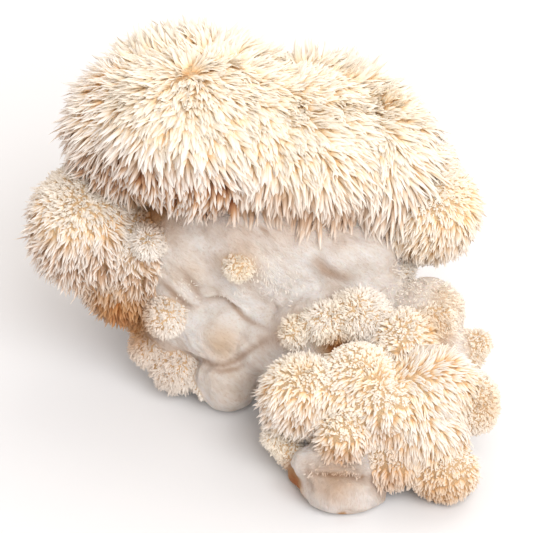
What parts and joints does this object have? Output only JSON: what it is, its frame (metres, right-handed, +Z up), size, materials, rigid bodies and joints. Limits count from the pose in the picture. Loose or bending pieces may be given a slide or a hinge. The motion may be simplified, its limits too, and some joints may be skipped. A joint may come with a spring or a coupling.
{
  "type": "lions mane mushroom",
  "caption": "Fresh mushroom in one piece: a shaggy white cap of hanging spines over bare flesh, with small spiny lobes below; rests on its cut foot.",
  "frame": {"origin": "middle of the box's bottom, on the surface that the mushroom rests on", "axes": "+Z up, the bare flesh at the front looks along -Y, +X to the right as seen from the front"},
  "size_m": [0.1852, 0.1671, 0.1405],
  "materials": {
    "mushroom_flesh": "matt cream white, soft and slightly translucent"
  },
  "bodies": {
    "root": {"fruiting_body": "mushroom_flesh"}
  },
  "joints": []
}
